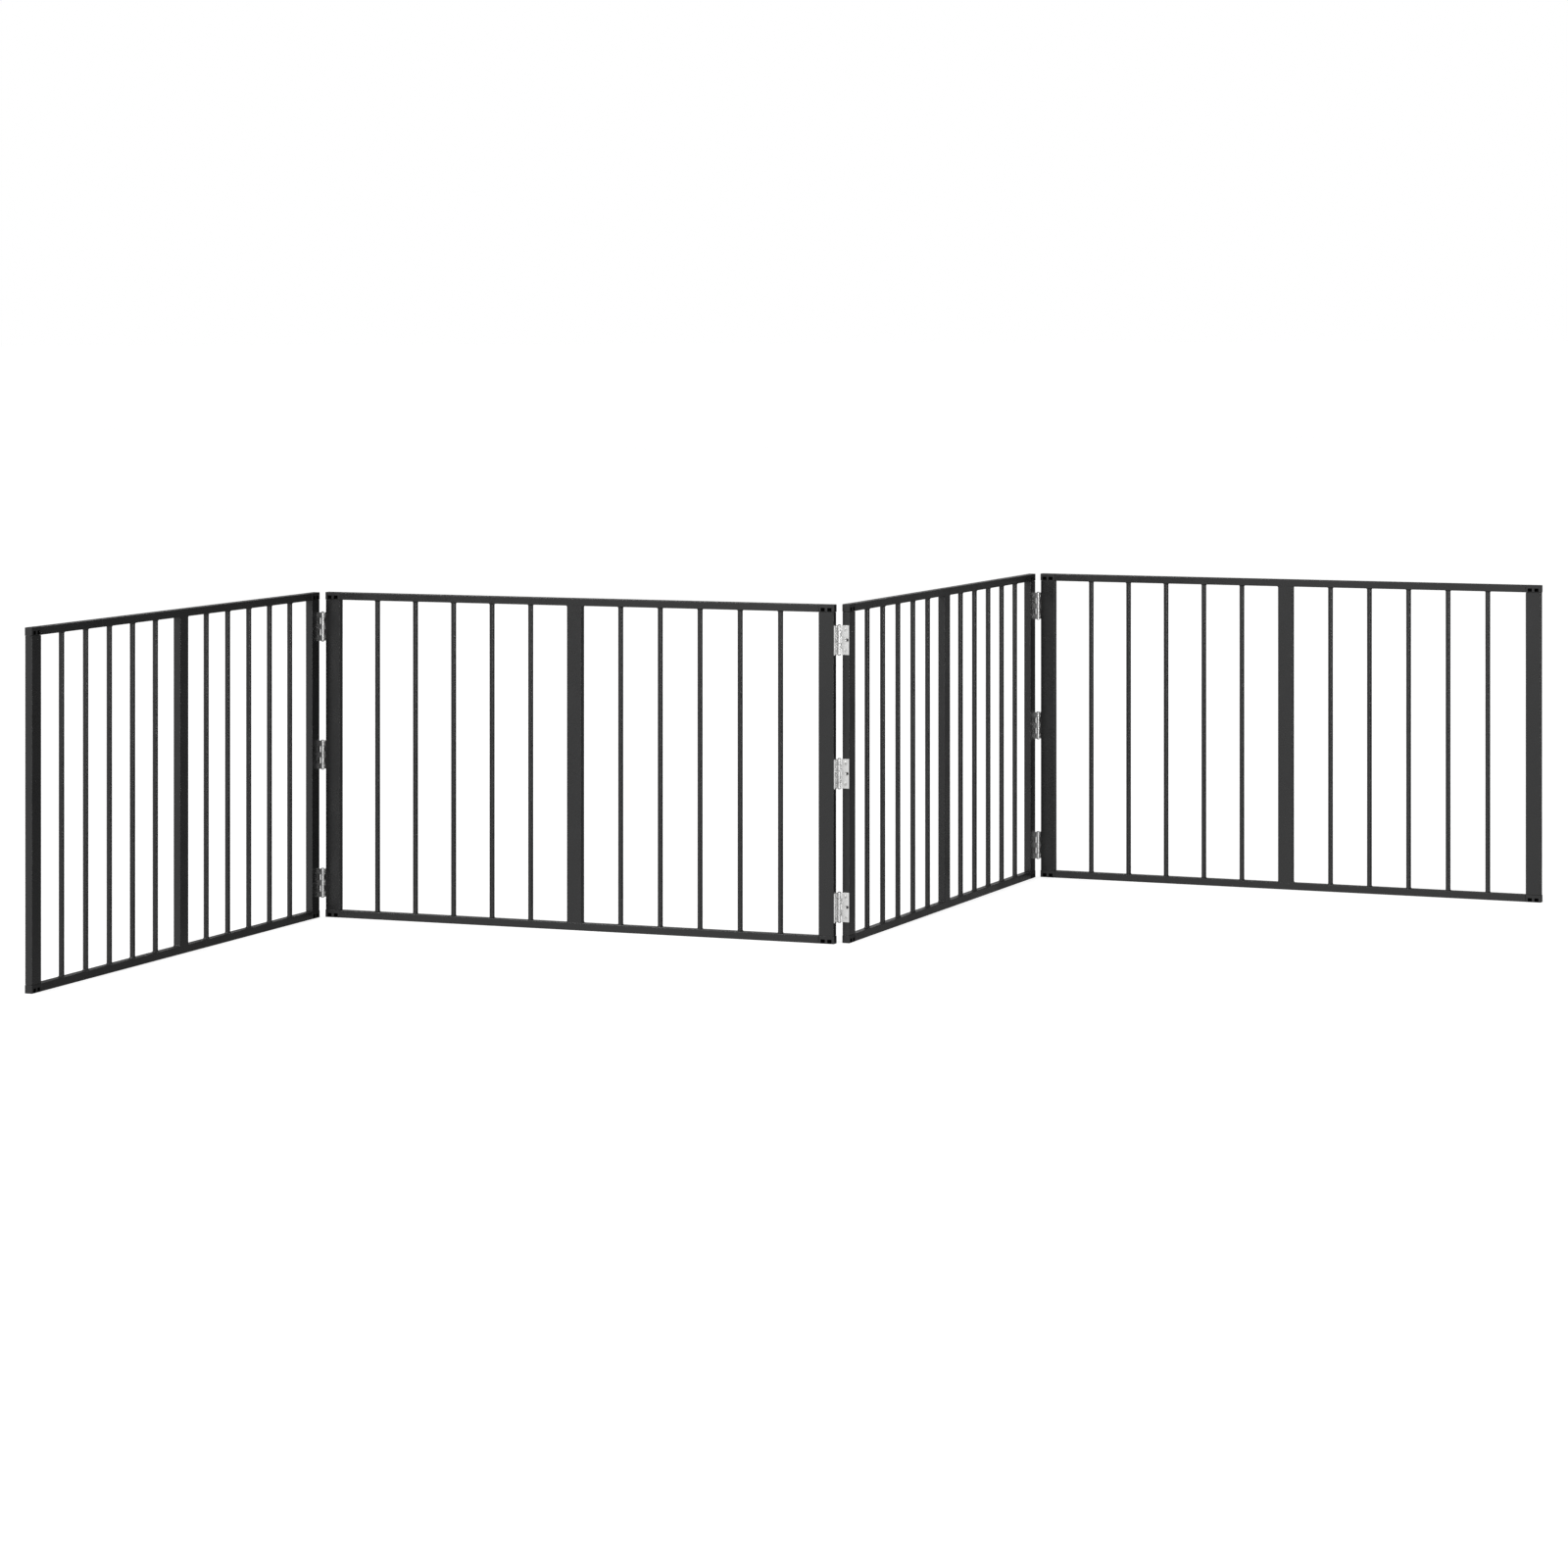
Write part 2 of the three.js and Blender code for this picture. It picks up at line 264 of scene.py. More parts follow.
def useGroup(tree, group, **values):
    # value names are written without spaces, as the group's own are with them
    node = tree.nodes.new("ShaderNodeGroup")
    node.node_tree = group
    plain = {socket.name.replace(" ", ""): socket for socket in node.inputs}
    for name, value in values.items():
        socket = plain[name[0].upper() + name[1:]]
        if isinstance(value, bpy.types.NodeSocket):
            tree.links.new(value, socket)
        else:
            socket.default_value = value
    return node.outputs[0]


def newMaterial(name):
    material = bpy.data.materials.new(name)
    material.use_nodes = True
    return material, material.node_tree, material.node_tree.nodes["Principled BSDF"]


def bumpInto(tree, shader, height, distance, strength=1.0):
    inputs = {"Height": height, "Distance": distance, "Strength": strength}
    bump = addNode(tree, "ShaderNodeBump", inputs)
    tree.links.new(bump.outputs["Normal"], shader.inputs["Normal"])


powderCoat = {
    "color": (0.0115, 0.0116, 0.0119, 1.0),
    "driftColor": (0.0085, 0.0086, 0.0089, 1.0),
    "driftSize": 0.18,
    "wornColor": (0.055, 0.055, 0.057, 1.0),
    "wornShare": 0.6,
    "wornPolish": 0.12,  # how much smoother a worn edge is
    "dustDulling": 0.3,  # how much rougher the dust makes it
    "dustColor": (0.08, 0.079, 0.076, 1.0),
    "wiped": 0.2,
    "dull": 0.4,
    "peelSize": 0.0016,
    "peelDepth": 0.00013,
    "specular": 0.5,
}


def makePowderCoat():
    material, tree, shader = newMaterial("satinBlackPowderCoat")
    coat = powderCoat
    tones = {"mainColor": coat["color"], "driftColor": coat["driftColor"]}
    tone = useGroup(tree, toneDrift, **tones, driftSize=coat["driftSize"])
    worn = useGroup(tree, edgeWear, bendStart=0.3, bendFull=0.7, patchSize=0.03, patchShare=0.75)
    dust = useGroup(tree, settledDust, amount=0.4, speckSize=0.0015)
    rubbed = mixColor(tree, mathNode(tree, "MULTIPLY", worn, coat["wornShare"]), tone, coat["wornColor"])
    tree.links.new(mixColor(tree, dust, rubbed, coat["dustColor"]), shader.inputs["Base Color"])
    rough = useGroup(tree, handling, wiped=coat["wiped"], dull=coat["dull"], smearSize=0.06)
    dusty = mathNode(tree, "ADD", rough, mathNode(tree, "MULTIPLY", dust, coat["dustDulling"]))
    polished = mathNode(tree, "SUBTRACT", dusty, mathNode(tree, "MULTIPLY", worn, coat["wornPolish"]))
    tree.links.new(polished, shader.inputs["Roughness"])
    shader.inputs["Specular IOR Level"].default_value = coat["specular"]
    peel = useGroup(tree, orangePeel, peelSize=coat["peelSize"], gritSize=0.0003, gritShare=0.25)
    bumpInto(tree, shader, peel, coat["peelDepth"])
    return material


mouldedPlastic = {
    "color": (0.007, 0.007, 0.0073, 1.0),
    "driftColor": (0.010, 0.010, 0.0103, 1.0),
    "driftSize": 0.01,
    "scuffColor": (0.05, 0.05, 0.05, 1.0),
    "scuffShare": 0.5,
    "recessColor": (0.0015, 0.0015, 0.0015, 1.0),  # painted shade, darkest on the pockets' floors
    "recessFrom": 0.2,
    "recessTo": 0.7,
    # the pockets' specular is lowered towards their floors too, as painted shade
    "recessSpecular": 0.02,
    "specular": 0.5,
    "dustDulling": 0.3,
    "dustColor": (0.10, 0.10, 0.098, 1.0),
    "wiped": 0.36,
    "dull": 0.52,
    "sparkSize": 0.0005,
    "sparkDepth": 0.00002,
}


def makeMouldedPlastic():
    material, tree, shader = newMaterial("mouldedBlackPlastic")
    moulded = mouldedPlastic
    tones = {"mainColor": moulded["color"], "driftColor": moulded["driftColor"]}
    tone = useGroup(tree, toneDrift, **tones, driftSize=moulded["driftSize"])
    scuffed = useGroup(tree, edgeWear, bendStart=0.8, bendFull=1.6, patchSize=0.004, patchShare=0.7)
    dust = useGroup(tree, settledDust, amount=0.35, speckSize=0.0008)
    scuffs = mathNode(tree, "MULTIPLY", scuffed, moulded["scuffShare"])
    marked = mixColor(tree, scuffs, tone, moulded["scuffColor"])
    dusty = mixColor(tree, dust, marked, moulded["dustColor"])
    # painted shade: the pockets are darkened and lose their specular towards their floors
    recess = addNode(tree, "ShaderNodeAttribute", attribute_name="recess").outputs["Fac"]
    depths = (moulded["recessFrom"], moulded["recessTo"])
    shaded = rangeNode(tree, recess, *depths)
    tree.links.new(mixColor(tree, shaded, dusty, moulded["recessColor"]), shader.inputs["Base Color"])
    rough = useGroup(tree, handling, wiped=moulded["wiped"], dull=moulded["dull"], smearSize=0.008)
    rougher = mathNode(tree, "ADD", rough, mathNode(tree, "MULTIPLY", dust, moulded["dustDulling"]))
    tree.links.new(mathNode(tree, "MAXIMUM", rougher, shaded), shader.inputs["Roughness"])
    shadedSheen = rangeNode(tree, recess, *depths, moulded["specular"], moulded["recessSpecular"])
    tree.links.new(shadedSheen, shader.inputs["Specular IOR Level"])
    sparks = useGroup(tree, orangePeel, peelSize=moulded["sparkSize"], gritSize=0.00015, gritShare=0.5)
    bumpInto(tree, shader, sparks, moulded["sparkDepth"])
    return material


def makePlatedSteel(name, plated):
    # plating over rolled or drawn steel: fine lines, clouded patches, brighter edges
    material, tree, shader = newMaterial(name)
    tones = {"mainColor": plated["color"], "driftColor": plated["cloudColor"]}
    clouded = useGroup(tree, toneDrift, **tones, driftSize=0.012)
    worn = useGroup(tree, edgeWear, bendStart=1.2, bendFull=3.0, patchSize=0.003, patchShare=0.8)
    line = useGroup(tree, rolledGrain, lineWidth=plated["lineWidth"], lineLength=plated["lineLength"])
    shade = rangeNode(tree, line, 0.3, 0.7, 0.0, plated["lineShade"])
    lined = mixColor(tree, shade, clouded, plated["lineColor"])
    tree.links.new(mixColor(tree, worn, lined, plated["edgeColor"]), shader.inputs["Base Color"])
    shader.inputs["Metallic"].default_value = 1.0
    rough = useGroup(tree, handling, wiped=plated["wiped"], dull=plated["dull"], smearSize=0.009)
    streaked = mathNode(tree, "ADD", rough, rangeNode(tree, line, 0.3, 0.7, -0.05, 0.05))
    tree.links.new(streaked, shader.inputs["Roughness"])
    bumpInto(tree, shader, line, plated["lineDepth"], 0.6)
    return material


zincPlate = {
    "color": (0.79, 0.79, 0.785, 1.0),
    "cloudColor": (0.71, 0.71, 0.705, 1.0),
    "lineColor": (0.60, 0.60, 0.595, 1.0),
    "edgeColor": (0.88, 0.88, 0.875, 1.0),
    "lineShade": 0.35,
    "lineWidth": 0.00018,
    "lineLength": 0.011,
    "lineDepth": 0.000012,
    "wiped": 0.27,
    "dull": 0.42,
}

pinSteel = {
    "color": (0.62, 0.62, 0.63, 1.0),
    "cloudColor": (0.52, 0.52, 0.53, 1.0),
    "lineColor": (0.42, 0.42, 0.43, 1.0),
    "edgeColor": (0.75, 0.75, 0.76, 1.0),
    "lineShade": 0.4,
    "lineWidth": 0.00012,
    "lineLength": 0.006,
    "lineDepth": 0.00001,
    "wiped": 0.24,
    "dull": 0.36,
}

screwZinc = {
    "color": (0.72, 0.72, 0.715, 1.0),
    "cloudColor": (0.62, 0.62, 0.615, 1.0),
    "lineColor": (0.52, 0.52, 0.515, 1.0),
    "edgeColor": (0.85, 0.85, 0.845, 1.0),
    "lineShade": 0.3,
    "lineWidth": 0.00025,
    "lineLength": 0.0008,
    "lineDepth": 0.000012,
    "wiped": 0.26,
    "dull": 0.40,
}

finishes = {
    "coat": makePowderCoat(),
    "plastic": makeMouldedPlastic(),
    "zinc": makePlatedSteel("brightZincPlate", zincPlate),
    "pin": makePlatedSteel("drawnPinSteel", pinSteel),
    "screw": makePlatedSteel("zincedScrewSteel", screwZinc),
}
print("finishes made:", ", ".join(finishes))


# mesh helpers

def loft(bm, rings, ringClosed=False):
    # skins rings of equal count; either both ends are capped, or the last ring meets the first
    rows = [[bm.verts.new(point) for point in ring] for ring in rings]
    pairs = list(zip(rows, rows[1:]))
    if ringClosed:
        pairs.append((rows[-1], rows[0]))
    else:
        bm.faces.new(rows[0][::-1])
        bm.faces.new(rows[-1])
    for low, high in pairs:
        for a in range(len(low)):
            b = (a + 1) % len(low)
            bm.faces.new((low[a], low[b], high[b], high[a]))


def roundedSection(width, depth, radius, inset=0.0):
    # points of a rectangle with round corners, about its own middle
    radius = max(radius - inset, tube["leastRadius"])
    points = []
    for corner in range(4):
        signX = 1 if corner in (0, 3) else -1
        signY = 1 if corner in (0, 1) else -1
        centreX = signX * (width / 2 - inset - radius)
        centreY = signY * (depth / 2 - inset - radius)
        for step in range(tube["edgeSteps"] + 1):
            angle = math.pi / 2 * (corner + step / tube["edgeSteps"])
            points.append((centreX + radius * math.cos(angle), centreY + radius * math.sin(angle)))
    return points


def circle(radius, sides, height):
    turns = [2 * math.pi * side / sides for side in range(sides)]
    return [Vector((radius * math.cos(turn), radius * math.sin(turn), height)) for turn in turns]


def sharpEdges(bm, limit=50):
    least = math.radians(limit)
    return [e for e in bm.edges if len(e.link_faces) == 2 and e.calc_face_angle(0) > least]


def roundEdges(bm, edges, radius, steps):
    bmesh.ops.bevel(bm, geom=edges, offset=radius, offset_type="OFFSET", segments=steps,
                    profile=0.5, affect="EDGES", clamp_overlap=True)


def noteBends(bm):
    # writes on each corner how tightly the surface bends there, as 1 / radius in millimetres
    layer = bm.verts.layers.float.new("edgeBend")
    for vert in bm.verts:
        share = sum(face.calc_area() / len(face.verts) for face in vert.link_faces)
        bend = sum(e.calc_face_angle_signed(0) * e.calc_length() / 2 for e in vert.link_edges)
        vert[layer] = 0.001 * bend / (2 * share) if share > 0 else 0.0


def finishPiece(bm, name, place, body, finish, standsFor=()):
    bmesh.ops.recalc_face_normals(bm, faces=bm.faces)
    noteBends(bm)
    bm.transform(place)
    mesh = bpy.data.meshes.new(name)
    bm.to_mesh(mesh)
    bm.free()
    mesh.shade_smooth()
    mesh.set_sharp_from_angle(angle=math.radians(40))
    mesh.materials.append(finishes[finish])
    piece = bpy.data.objects.new(name, mesh)
    bpy.context.scene.collection.objects.link(piece)
    even = piece.modifiers.new("evenShading", "WEIGHTED_NORMAL")
    even.keep_sharp = True
    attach(piece, body)
    if standsFor:
        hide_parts(*standsFor)


# tubes: stiles, rails and centre posts

# turns an upright tube to lie along x
alongX = Matrix(((0, 0, 1, 0), (1, 0, 0, 0), (0, 1, 0, 0), (0, 0, 0, 1)))


def hollowTube(bm, width, depth, length):
    # stands on the origin along z, its cut ends softened
    rounding, steps = tube["cutRounding"], tube["cutSteps"]
    angles = [math.pi / 2 * step / steps for step in range(steps + 1)]
    ends = [(rounding * (1 - math.sin(angle)), rounding * (1 - math.cos(angle))) for angle in angles]
    rings = ends + [(inset, length - height) for inset, height in reversed(ends)]
    skin = []
    for inset, height in rings:
        section = roundedSection(width, depth, tube["edgeRadius"], inset)
        skin.append([Vector((x, y, height)) for x, y in section])
    wall = 2 * tube["wall"]
    bore = roundedSection(width - wall, depth - wall, tube["insideRadius"])
    skin += [[Vector((x, y, height)) for x, y in bore] for height in (length, 0)]
    loft(bm, skin, ringClosed=True)


def makeStile(number, end):
    node = f"panel_{number}_{end}_stile"
    low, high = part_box(node)
    x = tube["stileWidth"] / 2 if end == "left" else panelLength - tube["stileWidth"] / 2
    place = panelPlaces[number] @ Matrix.Translation((x, tube["depth"] / 2, stileFoot))
    bm = bmesh.new()
    hollowTube(bm, tube["stileWidth"], tube["depth"], high.z - low.z)
    finishPiece(bm, f"{node}_tube", place, f"panel_{number}", "coat", [node])


def makeRail(number, level):
    start = tube["stileWidth"] + railGap
    z = railHeight / 2 if level == "bottom" else panelHeight - railHeight / 2
    place = panelPlaces[number] @ Matrix.Translation((start, tube["depth"] / 2, z)) @ alongX
    bm = bmesh.new()
    hollowTube(bm, tube["depth"], railHeight, panelLength - 2 * start)
    node = f"panel_{number}_top_rail" if level == "top" else f"panel_{number}_bar_grille"
    finishPiece(bm, f"panel_{number}_{level}_rail_tube", place, f"panel_{number}", "coat", [node])


# round bars and centre posts, welded between the rails

weld = {
    "reach": 0.0013,  # how far a weld runs out over the rail
    "rise": 0.0017,  # and up the bar
    "steps": 5,
    "hollow": 1.4,  # 1 is a round fillet, and more is a hollower one
    "unevenness": 0.16,
    "sunk": 0.0007,  # into the rail
}


def weldProfile():
    # (height, reach) pairs from the rail upwards, hollow as a small fillet weld is
    pairs = [(-weld["sunk"], weld["reach"])]
    for step in range(weld["steps"] + 1):
        angle = math.pi / 2 * step / weld["steps"]
        reach = weld["reach"] * (1 - math.sin(angle)) ** weld["hollow"]
        pairs.append((weld["rise"] * math.sin(angle), reach))
    return pairs


def weldedHeights(length):
    # both ends of a bar of that clear length, from the foot up
    foot = weldProfile()
    head = [(length - height, reach) for height, reach in reversed(foot)]
    return foot + head


bar = {
    "diameter": 0.008,
    "perBay": 5,
    "patternInset": 0.0024,  # the bars are pitched from this far inside the stile and the post
    "sides": 40,
}


def barPlaces():
    bay = (panelLength - tube["postWidth"]) / 2 - tube["stileWidth"]
    pitch = (bay + 2 * bar["patternInset"]) / (bar["perBay"] + 1)
    starts = (tube["stileWidth"], (panelLength + tube["postWidth"]) / 2)
    steps = range(1, bar["perBay"] + 1)
    return [start - bar["patternInset"] + pitch * step for start in starts for step in steps]


def makeBar(number, order, x):
    clear = panelHeight - 2 * railHeight
    phases = {"foot": chance.uniform(0, 6), "head": chance.uniform(0, 6)}
    rings = []
    for height, reach in weldedHeights(clear):
        phase = phases["foot"] if height < clear / 2 else phases["head"]
        ring = []
        for point in circle(1.0, bar["sides"], 0.0):
            turn = math.atan2(point.y, point.x)
            wave = math.sin(3 * turn + phase) + 0.6 * math.sin(5 * turn + 2 * phase)
            radius = bar["diameter"] / 2 + reach * (1 + weld["unevenness"] * wave)
            ring.append(Vector((point.x * radius, point.y * radius, height)))
        rings.append(ring)
    bm = bmesh.new()
    loft(bm, rings)
    place = panelPlaces[number] @ Matrix.Translation((x, tube["depth"] / 2, railHeight))
    finishPiece(bm, f"panel_{number}_round_bar_{order:02d}", place, f"panel_{number}", "coat")


def makePost(number):
    rings = []
    for height, reach in weldedHeights(panelHeight - 2 * railHeight):
        section = roundedSection(tube["postWidth"] + 2 * reach, tube["depth"], tube["edgeRadius"])
        rings.append([Vector((x, y, height)) for x, y in section])
    bm = bmesh.new()
    loft(bm, rings)
    place = panelPlaces[number] @ Matrix.Translation((panelLength / 2, tube["depth"] / 2, railHeight))
    finishPiece(bm, f"panel_{number}_centre_post", place, f"panel_{number}", "coat")


for number in panelPlaces:
    for end in ("left", "right"):
        makeStile(number, end)
    for level in ("top", "bottom"):
        makeRail(number, level)
    makePost(number)
    for order, x in enumerate(barPlaces(), 1):
        makeBar(number, order, x)
print("panels: stiles, rails, posts and", 4 * len(barPlaces()), "bars made")


# moulded corner plugs

plug = {
    "proud": 0.0006,  # past the end of the panel
    "pocketWidth": 0.007,
    "pocketHeight": 0.0056,
    "pocketDepth": 0.002,
    "pocketRib": 0.004,
    "pocketRise": 0.0012,
    "edgeRadius": 0.0007,
    "pocketRadius": 0.00035,
    "spigotLength": 0.014,
    "spigotPlay": 0.0015,  # from the outside of the tube to the spigot
    "spigotTaper": 0.0008,
    "spigotRoot": 0.0009,  # how far the stile's spigot reaches into the block
    "spigotRadius": 0.0005,
    "smallSteps": 2,  # facets round a spigot's edges and a pocket's
    "edgeSteps": 4,
}


def cellBlock(bm, cuts, isPocket):
    # a block divided at the cuts along x, y and z, without the cells that isPocket names
    counts = [len(line) - 1 for line in cuts]
    corners = {}

    def cornerAt(*index):
        if index not in corners:
            corners[index] = bm.verts.new([cuts[axis][i] for axis, i in enumerate(index)])
        return corners[index]

    def isSolid(cell):
        return all(0 <= i < count for i, count in zip(cell, counts)) and not isPocket(*cell)

    for cell in product(*(range(count) for count in counts)):
        if not isSolid(cell):
            continue
        for axis, side in product(range(3), (0, 1)):
            beside = list(cell)
            beside[axis] += 1 if side else -1
            if isSolid(beside):
                continue
            quad = []
            for stepA, stepB in ((0, 0), (1, 0), (1, 1), (0, 1)):
                at = list(cell)
                at[axis] += side
                at[(axis + 1) % 3] += stepA
                at[(axis + 2) % 3] += stepB
                quad.append(cornerAt(*at))
            bm.faces.new(quad if side else quad[::-1])


def onBlockRim(edge, low, high):
    # true for the block's own outer edges, where two of the three coordinates are at an end
    first, second = (v.co for v in edge.verts)
    ends = 0
    for axis in range(3):
        same = abs(first[axis] - second[axis]) < 1e-7
        ends += same and min(abs(first[axis] - low[axis]), abs(first[axis] - high[axis])) < 1e-7
    return ends >= 2


def spigot(bm, low, high, tipAxis, tipEnd):
    # a box with round edges whose free end is drawn in
    middle = (Vector(low) + Vector(high)) / 2
    made = bmesh.ops.create_cube(bm, size=1.0)["verts"]
    for vert in made:
        vert.co = Vector([middle[a] + vert.co[a] * (high[a] - low[a]) for a in range(3)])
        if abs(vert.co[tipAxis] - tipEnd) < 1e-7:
            for axis in range(3):
                if axis != tipAxis:
                    vert.co[axis] += plug["spigotTaper"] * (1 if vert.co[axis] < middle[axis] else -1)
    edges = list(dict.fromkeys(edge for vert in made for edge in vert.link_edges))
    roundEdges(bm, edges, plug["spigotRadius"], plug["smallSteps"])


def isWithin(value, ends):
    slack = 1e-5
    return ends[0] - slack < value < ends[1] + slack


def noteRecesses(bm, pocketX, pocketZ):
    # writes how deep each corner lies in a pocket: 0 on the face and 1 on the pocket's floor; the plastic
    # paints shade into the pockets by it
    layer = bm.verts.layers.float.new("recess")
    for vert in bm.verts:
        x, y, z = vert.co
        inWidth = isWithin(x, pocketX[:2]) or isWithin(x, pocketX[2:])
        if inWidth and isWithin(z, pocketZ):
            vert[layer] = min(1.0, min(y, tube["depth"] - y) / plug["pocketDepth"])


def sortByPlace(elements, placeOf):
    # the bevels leave new corners and faces in an order that changes from run to run
    ranked = sorted(elements, key=lambda element: tuple(round(c, 7) for c in placeOf(element)))
    ranks = {element: rank for rank, element in enumerate(ranked)}
    elements.sort(key=ranks.get)


def makePlug(number, level, end):
    # drawn for a left end; a right end is the same moulding turned half round
    width, depth = tube["stileWidth"], tube["depth"]
    bottom = 0.0 if level == "bottom" else panelHeight - railHeight
    rib = plug["pocketRib"] / 2
    pocketX = [width / 2 + side * edge for side, edge in (
        (-1, rib + plug["pocketWidth"]), (-1, rib), (1, rib), (1, rib + plug["pocketWidth"]))]
    pocketZ = [bottom + plug["pocketRise"], bottom + plug["pocketRise"] + plug["pocketHeight"]]
    cuts = [
        [-plug["proud"], *pocketX, width],
        [0.0, plug["pocketDepth"], depth - plug["pocketDepth"], depth],
        [bottom, *pocketZ, bottom + railHeight],
    ]
    bm = bmesh.new()
    cellBlock(bm, cuts, lambda i, j, k: i in (1, 3) and j in (0, 2) and k == 1)
    low, high = [line[0] for line in cuts], [line[-1] for line in cuts]
    pocketRims = [e for e in sharpEdges(bm) if not onBlockRim(e, low, high)]
    roundEdges(bm, pocketRims, plug["pocketRadius"], plug["smallSteps"])
    blockRims = [e for e in sharpEdges(bm) if onBlockRim(e, low, high)]
    roundEdges(bm, blockRims, plug["edgeRadius"], plug["edgeSteps"])
    play, reach = plug["spigotPlay"], plug["spigotLength"] + railGap
    top, root = bottom + railHeight, plug["spigotRoot"]
    tip = width + reach
    spigot(bm, (width - play, play, bottom + play), (tip, depth - play, top - play), 0, tip)
    inner, tip = (top - root, top + reach) if level == "bottom" else (bottom + root, bottom - reach)
    lowZ, highZ = min(inner, tip), max(inner, tip)
    spigot(bm, (play, play, lowZ), (width - play, depth - play, highZ), 2, tip)
    noteRecesses(bm, pocketX, pocketZ)
    sortByPlace(bm.verts, lambda vert: vert.co)
    sortByPlace(bm.faces, lambda face: face.calc_center_median())
    place = panelPlaces[number]
    if end == "right":
        place = place @ Matrix.Translation((panelLength, depth, 0)) @ Matrix.Rotation(math.pi, 4, "Z")
    node = f"panel_{number}_corner_plug_{level}_{end}"
    finishPiece(bm, f"{node}_moulding", place, f"panel_{number}", "plastic", [node])


for number, level, end in product(panelPlaces, ("top", "bottom"), ("left", "right")):
    makePlug(number, level, end)
print("corner plugs made")


# butt hinges: rolled leaves, headed pins and countersunk screws

leaf = {
    "thickness": 0.0014,
    "knuckleRadius": 0.0031,
    "pivotOffset": 0.0036,  # from the panel's face to the pin's axis
    "edgeInset": 0.00025,  # from the leaf's free edge to the far face of the panel
    "notchClearance": 0.0003,
    "knuckles": 5,
    "knuckleGap": 0.0003,
    "rollTurn": math.radians(297),
    "rollSteps": 26,
    "holeStep": math.radians(13),
    "holeRadius": 0.0017,
    "sinkRadius": 0.0030,
    "holeEndDistance": 0.007,
    "outerHoleReach": 0.010,  # from the pin's axis
    "middleHoleReach": 0.0118,
    "holeFieldHalf": 0.00335,  # half the square of sheet that is drawn round a hole
    "edgeRounding": 0.00016,
    "edgeSteps": 2,
}
leafLow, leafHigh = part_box("hinge_1_middle_leaf_left")
hingeHeight = leafHigh.z - leafLow.z


def sheetPoint(s, depth, z):
    # s runs along the sheet from where it leaves the roll, depth goes in from its outer face
    reach = leaf["knuckleRadius"] - depth
    if s >= 0:
        return Vector((reach, s, z))
    turn = -s / (leaf["knuckleRadius"] - leaf["thickness"] / 2)
    return Vector((reach * math.cos(turn), -reach * math.sin(turn), z))


def holePlaces():
    height, reach = hingeHeight / 2 - leaf["holeEndDistance"], leaf["outerHoleReach"]
    return [(reach, -height), (leaf["middleHoleReach"], 0.0), (reach, height)]


def knuckleSpans(first):
    # (bottom, top) of the knuckles rolled on one leaf, every second one from the first
    pitch = hingeHeight / leaf["knuckles"]
    spans = []
    for knuckle in range(first, leaf["knuckles"], 2):
        low = -hingeHeight / 2 + knuckle * pitch + (leaf["knuckleGap"] / 2 if knuckle else 0)
        isLast = knuckle == leaf["knuckles"] - 1
        high = -hingeHeight / 2 + (knuckle + 1) * pitch - (0 if isLast else leaf["knuckleGap"] / 2)
        spans.append((low, high))
    return spans


def sheetPattern(spans):
    # the flat sheet before it is rolled: faces over points, and a point is its (s, z) on either face
    plateStart = leaf["knuckleRadius"] + leaf["notchClearance"]
    plateEnd = leaf["pivotOffset"] + tube["depth"] - leaf["edgeInset"]
    rollLength = leaf["rollTurn"] * (leaf["knuckleRadius"] - leaf["thickness"] / 2)
    half = leaf["holeFieldHalf"]
    lines = {plateStart, plateEnd, 0.0}
    lines |= {-rollLength * step / leaf["rollSteps"] for step in range(1, leaf["rollSteps"] + 1)}
    lines |= {reach + side * half for reach, z in holePlaces() for side in (-1, 0, 1)}
    sLines = sorted(lines)
    levels = {-hingeHeight / 2, hingeHeight / 2} | {z for span in spans for z in span}
    levels |= {z + side * half for reach, z in holePlaces() for side in (-1, 0, 1)}
    zLines = sorted(levels)
    points, faces, rims = {}, [], []

    def gridPoint(i, j):
        points[(i, j)] = ((sLines[i], zLines[j]), (sLines[i], zLines[j]))
        return (i, j)

    def inHoleField(s, z):
        return any(abs(s - reach) < half and abs(z - level) < half for reach, level in holePlaces())

    for i, j in product(range(len(sLines) - 1), range(len(zLines) - 1)):
        s, z = (sLines[i] + sLines[i + 1]) / 2, (zLines[j] + zLines[j + 1]) / 2
        onKnuckle = any(low < z < high for low, high in spans)
        if (s > plateStart or onKnuckle) and not inHoleField(s, z):
            square = ((i, j), (i + 1, j), (i + 1, j + 1), (i, j + 1))
            faces.append([gridPoint(*corner) for corner in square])
    for hole, (reach, level) in enumerate(holePlaces()):
        across = [i for i, s in enumerate(sLines) if abs(s - reach) < half + 1e-7]
        upward = [j for j, z in enumerate(zLines) if abs(z - level) < half + 1e-7]
        around = [(i, upward[0]) for i in across[:-1]] + [(across[-1], j) for j in upward[:-1]]
        around += [(i, upward[-1]) for i in across[:0:-1]] + [(across[0], j) for j in upward[:0:-1]]
        turns = [math.atan2(zLines[j] - level, sLines[i] - reach) for i, j in around]
        ring = []
        for n, corner in enumerate(around):
            start = turns[n]
            sweep = (turns[(n + 1) % len(turns)] - start) % (2 * math.pi)
            steps = max(1, round(sweep / leaf["holeStep"]))
            arc = []
            for step in range(steps):
                turn = start + sweep * step / steps
                key = ("hole", hole, n, step)
                points[key] = tuple(
                    (reach + r * math.cos(turn), level + r * math.sin(turn))
                    for r in (leaf["sinkRadius"], leaf["holeRadius"]))
                arc.append(key)
            ring.append(arc)
        for n, corner in enumerate(around):
            following = (n + 1) % len(around)
            side = [gridPoint(*corner), gridPoint(*around[following])]
            faces.append(side + [ring[following][0], *ring[n][::-1]])
        rims.append([key for arc in ring for key in arc])
    return points, faces, rims


